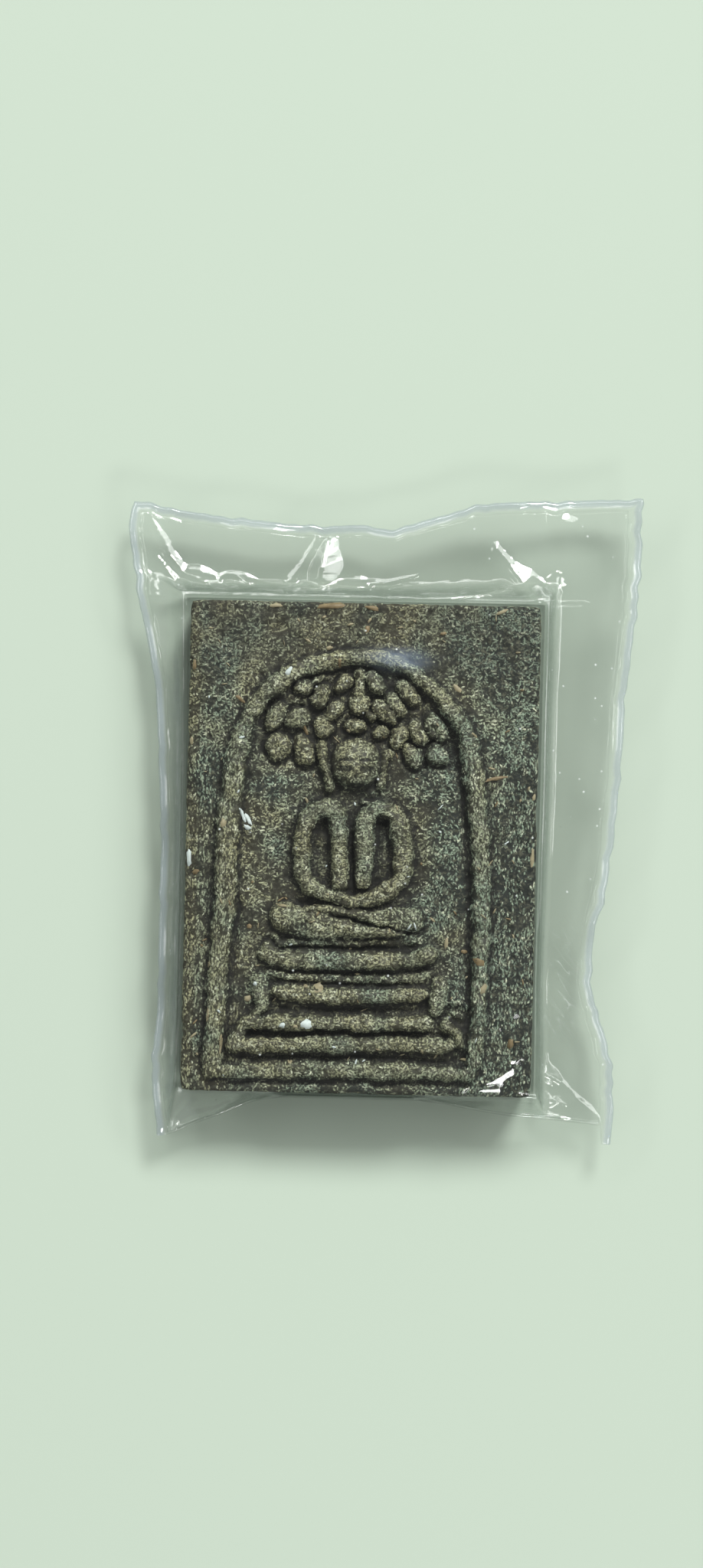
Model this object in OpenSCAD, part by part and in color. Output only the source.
// Pressed powder amulet tablet with a seated figure under an arch, lying face up in a clear
// film sleeve. X is the width, Y is the figure's up, Z is the thickness. The origin is on the
// surface that the sleeve lies on, under the middle of the tablet.

/* [Tablet] */
// Width of the tablet
tablet_w = 25; // [22:0.5:30]
// Height of the tablet, from its foot to its top edge
tablet_h = 35; // [31:0.5:42]
// Thickness of the tablet without its relief
tablet_t = 4.2; // [3:0.1:6]
// Rounding of the tablet's worn edges
edge_r = 0.45; // [0.2:0.05:1]

/* [Relief] */
// Width of the ridge that frames the figure as an arch
arch_w = 1.35; // [1:0.05:1.6]
// Rise of the arch ridge over the face
arch_rise = 0.65; // [0.3:0.05:0.8]
// Length of a full leaf under the arch
leaf_l = 2; // [1.6:0.05:2.3]
// Rise of the leaves under the arch
leaf_rise = 0.6; // [0.3:0.05:0.8]
// Width of the figure's plain head
head_w = 3.6; // [3:0.05:4.2]
// Height of the figure's plain head
head_h = 3.7; // [3:0.05:4.4]
// Rise of the head over the face of the tablet
head_rise = 1.2; // [0.8:0.05:1.3]
// Rise of the worn eyes, nose and mouth over the ball of the head
feature_rise = 0.05; // [0.02:0.01:0.1]
// Width of the bands that make the figure's trunk and arms
limb_w = 1.15; // [0.9:0.05:1.35]
// Rise of the trunk and arms over the face
limb_rise = 0.95; // [0.6:0.05:1.1]
// Thickness of the front leg at its knee
leg_w = 2.25; // [1.8:0.05:2.5]
// Rise of the folded legs over the face
leg_rise = 0.9; // [0.6:0.05:1.1]
// Rise of the tiers of the seat over the face
seat_rise = 0.7; // [0.4:0.05:0.9]
// Width of the thin lines between the tiers
line_w = 0.5; // [0.35:0.05:0.7]
// Rise of the thin lines between the tiers
line_rise = 0.35; // [0.2:0.05:0.5]

/* [Film sleeve] */
// Thickness of the film
film_t = 0.15; // [0.1:0.01:0.2]
// Room left between the film and the tablet
film_gap = 0.12; // [0.08:0.01:0.2]
// Width of the welded bead along the sleeve's edges
bead_w = 0.75; // [0.5:0.05:0.9]
// Thickness of the welded bead
bead_t = 0.7; // [0.5:0.05:0.9]
// Least width of the sleeve beside the tablet's left side
left_margin = 1.85; // [1.7:0.05:3]
// Least width of the sleeve beside the tablet's right side
right_margin = 4.2; // [3:0.1:6]
// Length of the sleeve above the tablet, at its left corner
head_room = 7; // [5:0.1:10]
// Length of the folded corners that hang below the tablet
ear_drop = 3.2; // [2:0.1:4]
// Height of the ripples along the sleeve's edges
ripple = 0.3; // [0:0.05:0.5]
// Length of one ripple
ripple_len = 11; // [7:0.5:16]

/* [Hidden] */

half_w = tablet_w / 2;
half_h = tablet_h / 2;
skin = film_t + film_gap;
face_z = skin + tablet_t;
tallest_rise = max(head_rise + feature_rise, limb_rise, leg_rise, seat_rise, arch_rise, leaf_rise);
// Height of the film's top over the tablet's edge, over the outer relief and over the head
brim_z = face_z + skin;
frame_z = face_z + max(arch_rise, seat_rise) + skin;
crown_z = face_z + tallest_rise + skin;

// A place on the face, from shares of the tablet's width and height
function on_face(share) = [share[0] * tablet_w, share[1] * tablet_h];

// RELIEF
// A rounded boss that stands on the face, its lower half sunk in the tablet. Its sides are a
// multiple of 4, so that it meets the face with upright walls.
module boss(length, width, rise, turn = 0, sides = 8) {
    rotate(turn) scale([length, width, 2 * rise]) sphere(d = 1, $fn = sides);
}

// A rounded ridge through places on the face, given as [x share, y share, width share]
module ridge(places, width, rise, sides = 8) {
    for (i = [0:len(places) - 2])
        hull()
            for (place = [places[i], places[i + 1]])
                translate([on_face(place)[0], on_face(place)[1], face_z])
                    boss(width * place[2], width * place[2], rise, 0, sides);
}

// The plain slab, with worn edges and corners
module slab() {
    hull()
        for (x = [-1, 1], y = [-1, 1], z = [skin + edge_r, face_z - edge_r])
            translate([x * (half_w - edge_r), y * (half_h - edge_r), z])
                sphere(r = edge_r, $fn = 12);
}

// [x share, y share, share of arch_w] from the crown down to each foot
arch_left = [[-0.032, 0.389, 0.9], [-0.08, 0.383, 0.88], [-0.12, 0.375, 0.9],
    [-0.16, 0.366, 0.95], [-0.2, 0.354, 0.95], [-0.24, 0.337, 0.9], [-0.28, 0.311, 0.88],
    [-0.308, 0.286, 0.9], [-0.33, 0.257, 0.92], [-0.344, 0.229, 0.95], [-0.36, 0.171, 1.15],
    [-0.378, 0.057, 1.12], [-0.384, -0.1, 1.15], [-0.394, -0.229, 1.05], [-0.402, -0.343, 1],
    [-0.412, -0.457, 0.85]];
arch_right = [[-0.032, 0.389, 0.9], [0.04, 0.387, 0.7], [0.08, 0.38, 0.68], [0.12, 0.367, 0.75],
    [0.16, 0.347, 0.82], [0.2, 0.321, 0.9], [0.24, 0.29, 0.92], [0.272, 0.257, 0.95],
    [0.294, 0.229, 0.95], [0.31, 0.171, 1.05], [0.324, 0.1, 1], [0.336, 0.014, 0.96],
    [0.344, -0.071, 0.96], [0.346, -0.257, 0.9]];
// [x share, y share, share of arch_w] along the bar that closes the arch at its foot
arch_foot = [[-0.412, -0.459, 0.7], [-0.28, -0.454, 0.85], [0, -0.449, 0.9],
    [0.16, -0.449, 0.85], [0.328, -0.454, 0.7]];

module arch() {
    color("#7d7c66") {
        ridge(arch_left, arch_w, arch_rise);
        ridge(arch_right, arch_w, arch_rise);
        ridge(arch_foot, arch_w, arch_rise * 0.85);
    }
}

// [x share, y share, length and width as shares of leaf_l, turn in degrees]
leaves = [[-0.171, 0.326, 0.75, 0.48, 20], [-0.131, 0.341, 0.48, 0.25, 35],
    [-0.124, 0.307, 0.85, 0.62, 60], [-0.06, 0.333, 0.7, 0.48, 50],
    [-0.089, 0.277, 0.8, 0.5, 50], [-0.249, 0.265, 1.02, 0.68, 60],
    [-0.189, 0.26, 0.85, 0.72, 20], [-0.114, 0.243, 0.78, 0.7, 90],
    [-0.242, 0.203, 1, 0.75, 110], [-0.169, 0.196, 0.98, 0.7, 105],
    [-0.018, 0.246, 0.72, 0.5, 0], [-0.012, 0.293, 0.75, 0.7, 0],
    [0.034, 0.339, 0.95, 0.55, -42], [0.126, 0.317, 1.08, 0.58, -45],
    [0.087, 0.294, 0.98, 0.5, -52], [0.058, 0.276, 1.05, 0.5, -50],
    [0.02, 0.27, 0.42, 0.3, -60], [0.206, 0.249, 1.15, 0.65, -50],
    [0.154, 0.237, 0.92, 0.55, -65], [0.1, 0.23, 0.82, 0.6, 80],
    [0.048, 0.237, 0.5, 0.42, 0], [0.142, 0.19, 0.88, 0.6, -60],
    [0.211, 0.193, 0.9, 0.68, -45]];
// [x share, y share, share of line_w] of the stem that hangs from the crown of the arch
stem = [[-0.014, 0.357, 1.5], [-0.015, 0.317, 1.5]];

module branches() {
    color("#85836c") {
        for (leaf = leaves)
            translate([on_face(leaf)[0], on_face(leaf)[1], face_z])
                boss(leaf[2] * leaf_l, leaf[3] * leaf_l, leaf_rise, leaf[4], 12);
        ridge(stem, line_w, leaf_rise);
    }
}

// Place of the head's middle on the face of the tablet
head_at = [-0.02, 0.171];
// The closed eyes, nose and mouth, plain and almost worn away: eyes on the head's middle line,
// one eye's width apart, nose half way to the chin, mouth a third of the way below it.
// [x share of head_w, y share of head_h, length and width as shares of head_w, turn in degrees]
features = [[-0.2, 0, 0.2, 0.07, 6], [0.2, 0, 0.2, 0.07, -6], [0, -0.12, 0.24, 0.1, 90],
    [0, -0.33, 0.24, 0.07, 0]];
function ball_rise(x, y) = head_rise * sqrt(1 - pow(2 * x, 2) - pow(2 * y, 2));
// [x share, y share, share of line_w] down each long ear, and on the neck
ear_left = [[-0.122, 0.203, 1.4], [-0.11, 0.166, 1.3], [-0.094, 0.121, 1.2]];
ear_right = [[0.078, 0.197, 1.1], [0.064, 0.171, 1], [0.052, 0.126, 1.2]];
neck_left = [[-0.074, 0.094, 0.8], [-0.069, 0.091, 0.8]];
neck_right = [[0.004, 0.094, 0.7], [0.048, 0.096, 0.7]];

module head() {
    color("#8b8a72") {
        translate([on_face(head_at)[0], on_face(head_at)[1], face_z]) {
            boss(head_h, head_w, head_rise, 90, 20);
            for (part = features)
                translate([part[0] * head_w, part[1] * head_h,
                           ball_rise(part[0], part[1]) - feature_rise])
                    boss(part[2] * head_w, part[3] * head_w, 2 * feature_rise, part[4]);
        }
        ridge(ear_left, line_w, limb_rise * 0.7);
        ridge(ear_right, line_w, limb_rise * 0.6);
        ridge(neck_left, line_w, limb_rise * 0.6);
        ridge(neck_right, line_w, limb_rise * 0.6);
    }
}

// [x share, y share, share of limb_w]: up one side of the trunk, over the shoulder and down the arm
trunk_left = [[-0.058, -0.069, 0.82], [-0.06, 0, 0.92], [-0.064, 0.046, 0.95],
    [-0.076, 0.073, 0.95], [-0.112, 0.081, 0.9], [-0.144, 0.069, 0.88], [-0.16, 0.04, 0.88],
    [-0.17, 0, 0.88], [-0.17, -0.043, 0.88]];
trunk_right = [[0.006, -0.069, 0.8], [0.008, 0, 0.95], [0.012, 0.049, 1.03], [0.026, 0.074, 0.92],
    [0.06, 0.081, 0.92], [0.094, 0.071, 0.92], [0.108, 0.043, 1], [0.118, 0, 1.08],
    [0.12, -0.037, 1.04]];
// [x share, y share, share of limb_w] along the joined forearms, from elbow to elbow
forearms = [[-0.17, -0.043, 0.88], [-0.156, -0.069, 0.85], [-0.12, -0.086, 0.82],
    [-0.08, -0.097, 0.75], [-0.04, -0.105, 0.68], [0, -0.107, 0.7], [0.04, -0.099, 0.85],
    [0.08, -0.083, 0.95], [0.11, -0.063, 0.95], [0.12, -0.037, 1.04]];

module trunk() {
    color("#87866f") {
        ridge(trunk_left, limb_w, limb_rise);
        ridge(trunk_right, limb_w, limb_rise);
        ridge(forearms, limb_w, limb_rise * 0.9);
    }
}

// [x share, y share, share of leg_w] from the thick left knee out to the thin tip
front_leg = [[-0.214, -0.141, 0.9], [-0.168, -0.149, 1], [-0.12, -0.156, 0.9],
    [-0.08, -0.161, 0.75], [0, -0.167, 0.5], [0.08, -0.171, 0.22], [0.128, -0.173, 0.1]];
rear_leg = [[-0.156, -0.117, 0.12], [-0.08, -0.126, 0.25], [0, -0.134, 0.32],
    [0.04, -0.139, 0.41], [0.08, -0.14, 0.58], [0.12, -0.143, 0.7], [0.15, -0.141, 0.73]];

module legs() {
    color("#88876f") {
        ridge(front_leg, leg_w, leg_rise, 12);
        ridge(rear_leg, leg_w, leg_rise * 0.85, 12);
    }
}

// [x share, y share, share of line_w] along the thin lines of the seat
seat_line_1 = [[-0.242, -0.179, 0.9], [-0.224, -0.192, 0.9], [-0.16, -0.193, 0.85],
    [0, -0.192, 0.9], [0.08, -0.189, 0.9], [0.124, -0.185, 1], [0.15, -0.18, 1.2]];
seat_line_2 = [[-0.256, -0.256, 0.9], [-0.2, -0.261, 1.1], [-0.12, -0.264, 1.1],
    [0.08, -0.264, 1], [0.16, -0.26, 0.9], [0.2, -0.253, 0.9]];
foot_line = [[-0.36, -0.489, 0.9], [0.34, -0.488, 0.9]];
// [x share, y share, share of limb_w] along the four tiers, from the cushion to the base
cushion = [[-0.258, -0.211, 1.08], [-0.22, -0.224, 1.13], [-0.12, -0.227, 1.17],
    [0, -0.226, 1.13], [0.08, -0.225, 1.04], [0.16, -0.221, 0.96], [0.2, -0.211, 1]];
tier_2 = [[-0.236, -0.29, 0.65], [-0.18, -0.297, 0.87], [-0.08, -0.299, 0.96],
    [0, -0.299, 0.91], [0.08, -0.297, 0.83], [0.184, -0.294, 0.7]];
tier_3 = [[-0.312, -0.357, 0.87], [0, -0.354, 0.96], [0.192, -0.353, 0.87]];
tier_4 = [[-0.344, -0.404, 0.91], [0, -0.396, 0.96], [0.26, -0.396, 0.83]];
// [x share, y share, share of line_w] of the feet, links and curls beside the tiers
foot_left = [[-0.284, -0.277, 2.6], [-0.272, -0.303, 2.2], [-0.27, -0.326, 1.5],
    [-0.292, -0.34, 1.1]];
foot_right = [[0.232, -0.277, 2.8], [0.23, -0.3, 2.8], [0.224, -0.326, 1.8]];
link_left = [[-0.324, -0.363, 1.6], [-0.344, -0.389, 1.6]];
link_right = [[0.252, -0.354, 1.6], [0.28, -0.369, 1.6], [0.294, -0.391, 1.6]];
curl_upper = [[0.272, -0.307, 0.6], [0.292, -0.309, 0.6], [0.308, -0.316, 0.6]];
curl_lower = [[0.268, -0.329, 0.7], [0.3, -0.336, 0.7]];

module seat() {
    color("#807f69") {
        for (line = [seat_line_1, seat_line_2, curl_upper, curl_lower])
            ridge(line, line_w, line_rise);
        ridge(foot_line, line_w, line_rise * 0.7);
        for (tier = [cushion, tier_2, tier_3, tier_4]) ridge(tier, limb_w, seat_rise);
        for (side = [foot_left, foot_right, link_left, link_right])
            ridge(side, line_w, seat_rise * 0.8);
    }
}

module tablet() {
    color("#4b4a3c") slab();
    arch();
    branches();
    head();
    trunk();
    legs();
    seat();
}

// FILM SLEEVE
// Width of the sleeve beside the tablet, as shares of the two margins:
// [height on the tablet as a share of its half height, share of the margin]
left_edge = [[-1.2, 0.88], [-0.94, 1.16], [-0.64, 1], [-0.03, 1], [0.26, 1.12], [0.58, 1.3],
    [0.73, 1.5], [0.94, 1.95], [1.14, 2.32], [1.27, 2.5], [1.4, 2.33]];
right_edge = [[-1.2, 1.36], [-0.98, 1.43], [-0.74, 1.26], [-0.55, 1.02], [-0.38, 1.02],
    [-0.17, 1.21], [0.04, 1.33], [0.34, 1.43], [0.67, 1.5], [0.94, 1.62], [1.24, 1.71],
    [1.45, 1.69]];
// Length of the sleeve above and below the tablet:
// [place across as a share of the tablet's half width, share of head_room or of ear_drop]
top_edge = [[-1.34, 1], [-1.04, 0.91], [-0.62, 0.83], [-0.26, 0.79], [-0.05, 0.81], [0.1, 0.77],
    [0.38, 0.9], [0.67, 1.05], [1.01, 1.09], [1.51, 1.13]];
fold_edge = [[-1.13, 1], [-0.89, 0.66], [-0.74, 0.44], [-0.53, 0.1], [-0.4, 0], [0.3, 0],
    [0.67, 0.25], [0.9, 0.375], [1.22, 0.48], [1.405, 0.56], [1.42, 0.97]];
// How far the film has come down at each share of the way from the tablet's top edge to the weld
head_fall = [[0, 0], [0.13, 0.5], [0.26, 0.9], [1, 1]];
// Height of the film over the tablet, by the share of the way from its middle to either side,
// and from its foot, at -1, to its top edge
lid_side = [[0, crown_z], [0.5, crown_z], [0.84, frame_z], [1, brim_z]];
lid_end = [[-1, brim_z], [-0.97, frame_z], [-0.84, frame_z], [-0.5, crown_z], [0.7, crown_z],
    [0.82, frame_z], [1, brim_z]];

// Columns and rows of the film: [zone, share of the zone]. Zone 0 lies before the tablet, from
// the outer edge, zone 1 over it, from side to side, and zone 2 after it, to the outer edge.
// Zones 3 and 4 are the bead, by shares of its width, at the first and the last edge, and zone 5
// is the fold at the foot.
columns = [[3, 0], [3, 0.5], [3, 1], [0, 0.5], [1, -1], [1, -0.96], [1, -0.84], [1, -0.67],
    [1, -0.5], [1, -0.25], [1, -0.05], [1, 0.1], [1, 0.25], [1, 0.38], [1, 0.5], [1, 0.67],
    [1, 0.84], [1, 0.96], [1, 1], [2, 0.3], [2, 0.65], [4, 1], [4, 0.5], [4, 0]];
rows = [[5, 0], [5, 1], [0, 0.5], [1, -1], [1, -0.97], [1, -0.84], [1, -0.66], [1, -0.5],
    [1, -0.3], [1, -0.1], [1, 0.1], [1, 0.3], [1, 0.5], [1, 0.6], [1, 0.7], [1, 0.82],
    [1, 0.97], [1, 1], [2, 0.13], [2, 0.26], [2, 0.5], [2, 0.75], [4, 1], [4, 0.5], [4, 0]];
last_column = len(columns) - 1;
last_row = len(rows) - 1;

// Where the film starts to come down: beside the tablet, past its top edge, and at its foot,
// where the fold lies close against it
brim_x = half_w + skin;
brim_top = half_h + skin;
brim_foot = half_h;
fold_y = half_h + skin;

function mix(a, b, share) = a + (b - a) * share;
// A place along one direction, from its zone, the two outer edges, the two brims and the width
// of the bead or fold at the first edge
function place(zone, share, first, last, brim_first, brim_last, rim) =
    zone == 0 ? mix(first + rim, -brim_first, share)
    : zone == 1 ? share * (share < 0 ? brim_first : brim_last)
    : zone == 2 ? mix(brim_last, last - bead_w, share)
    : zone == 4 ? last - share * bead_w
    : first + share * rim;

function left_x(y) = -half_w - left_margin * lookup(y / half_h, left_edge);
function right_x(y) = half_w + right_margin * lookup(y / half_h, right_edge);
function top_y(x) = half_h + head_room * lookup(x / half_w, top_edge);
function bottom_y(x) = -fold_y - ear_drop * lookup(x / half_w, fold_edge);

function row_y(r, x) =
    place(rows[r][0], rows[r][1], bottom_y(x), top_y(x), brim_foot, brim_top, film_t);
// The sides are looked up at the row's height over the tablet's middle, so that a row's ends
// and the sleeve's outline agree
function column_x(c, r) =
    let (guess = place(columns[c][0], columns[c][1], -half_w, half_w, half_w, half_w, 0),
         y = row_y(r, guess))
    place(columns[c][0], columns[c][1], left_x(y), right_x(y), brim_x, brim_x, bead_w);

// Shares of the way down, from the tablet's brim to the weld. Below the tablet the two films
// have come together where the folded corner hangs this far down.
ear_close = 0.75;
function side_down(c) =
    let (zone = columns[c][0], share = columns[c][1])
    zone == 1 ? 0 : zone == 0 ? 1 - share : zone == 2 ? share : 1;
function end_down(r, x) =
    let (zone = rows[r][0], share = rows[r][1],
         ear = min(1, lookup(x / half_w, fold_edge) * ear_drop / ear_close))
    zone == 1 ? 0
    : zone == 2 ? lookup(share, head_fall)
    : zone == 4 ? 1
    : zone == 0 ? ear * (1 - share) : ear;
function down(c, r, x) = max(side_down(c), end_down(r, x));

// Height of the film over the tablet, and of the weld, which ripples about the middle
mid_z = brim_z / 2;
function lid_z(x, y) =
    min(lookup(abs(x) / brim_x, lid_side), lookup(y / (y < 0 ? brim_foot : brim_top), lid_end));
function wave(along) = sin(360 * along / ripple_len);
function weld_z(x, y) = mid_z + ripple * (wave(x + y) + wave(x - 2 * y)) / 2;

// Half thickness of the weld: the two films, a hair's breadth apart, or the bead
bead_half = [[0, 0.3], [0.5, 1], [1, 0.6]];
film_lay = 0.03;
function bead_share(list, i) = list[i][0] >= 3 && list[i][0] <= 4 ? lookup(list[i][1], bead_half) : 0;
function weld_half(c, r) =
    max(film_t + film_lay,
        bead_t / 2 * (columns[c][0] >= 3 && rows[r][0] >= 4
            ? min(bead_share(columns, c), rows[r][0] == 4 ? bead_share(rows, r) : 1)
            : max(bead_share(columns, c), bead_share(rows, r))));

// How much deeper the film is when it is measured straight down: where it bends over the
// tablet's edges, where it slants beside the tablet, and where it slants at the two ends
bend_steepness = 1.6;
end_steepness = 1.8;
function at_brim(line) = line[0] == 1 && abs(line[1]) == 1;
function steepness(c, r, y, fall) =
    at_brim(columns[c]) || at_brim(rows[r]) ? bend_steepness
    : fall == 0 || fall == 1 ? 1
    : columns[c][0] == 0 ? norm([1, mid_z / (-brim_x - left_x(y) - bead_w)])
    : columns[c][0] == 2 ? norm([1, mid_z / (right_x(y) - bead_w - brim_x)])
    : end_steepness;

// A point of the film: side 1 is the top film and 0 the one it lies on. inward is the depth
// under the outer surface, 0 or the film's thickness.
function film_point(c, r, side, inward) =
    let (x = column_x(c, r), y = row_y(r, x), fall = down(c, r, x),
         weld = weld_z(x, y), half = weld_half(c, r),
         outer = side == 1 ? mix(lid_z(x, y), weld + half, fall) : mix(0, weld - half, fall),
         depth = min(inward * steepness(c, r, y, fall),
                     abs(outer - mix(mid_z, weld, fall)) - film_lay / 2))
    [x, y, side == 1 ? outer - depth : outer + depth];

// A closed skin over columns and rows c0..c1 and r0..r1, with its rim
function grid_points(c0, c1, r0, r1, inward) =
    [for (side = [0, 1], r = [r0:r1], c = [c0:c1]) film_point(c, r, side, inward)];
function grid_faces(nc, nr) =
    let (n = nc * nr, last = nr - 1)
    concat(
        [for (r = [0:nr - 2], c = [0:nc - 2])
            let (a = r * nc + c) each [[a, a + 1, a + nc + 1], [a, a + nc + 1, a + nc]]],
        [for (r = [0:nr - 2], c = [0:nc - 2])
            let (a = n + r * nc + c) each [[a, a + nc + 1, a + 1], [a, a + nc, a + nc + 1]]],
        [for (c = [0:nc - 2]) each [[c, n + c + 1, c + 1], [c, n + c, n + c + 1]]],
        [for (c = [0:nc - 2]) let (a = last * nc + c)
            each [[a, a + 1, n + a + 1], [a, n + a + 1, n + a]]],
        [for (r = [0:nr - 2]) let (a = r * nc)
            each [[a, a + nc, n + a + nc], [a, n + a + nc, n + a]]],
        [for (r = [0:nr - 2]) let (a = r * nc + nc - 1)
            each [[a, n + a + nc, a + nc], [a, n + a, n + a + nc]]]);

module film_body(c0, c1, r0, r1, inward) {
    polyhedron(grid_points(c0, c1, r0, r1, inward), grid_faces(c1 - c0 + 1, r1 - r0 + 1));
}

// One film, folded at the foot and welded along the other three sides, closed round the tablet
module sleeve() {
    color("#dfe6e4", 0.35)
        difference() {
            film_body(0, last_column, 0, last_row, 0);
            film_body(2, last_column - 2, 1, last_row - 2, film_t);
        }
}

tablet();
sleeve();
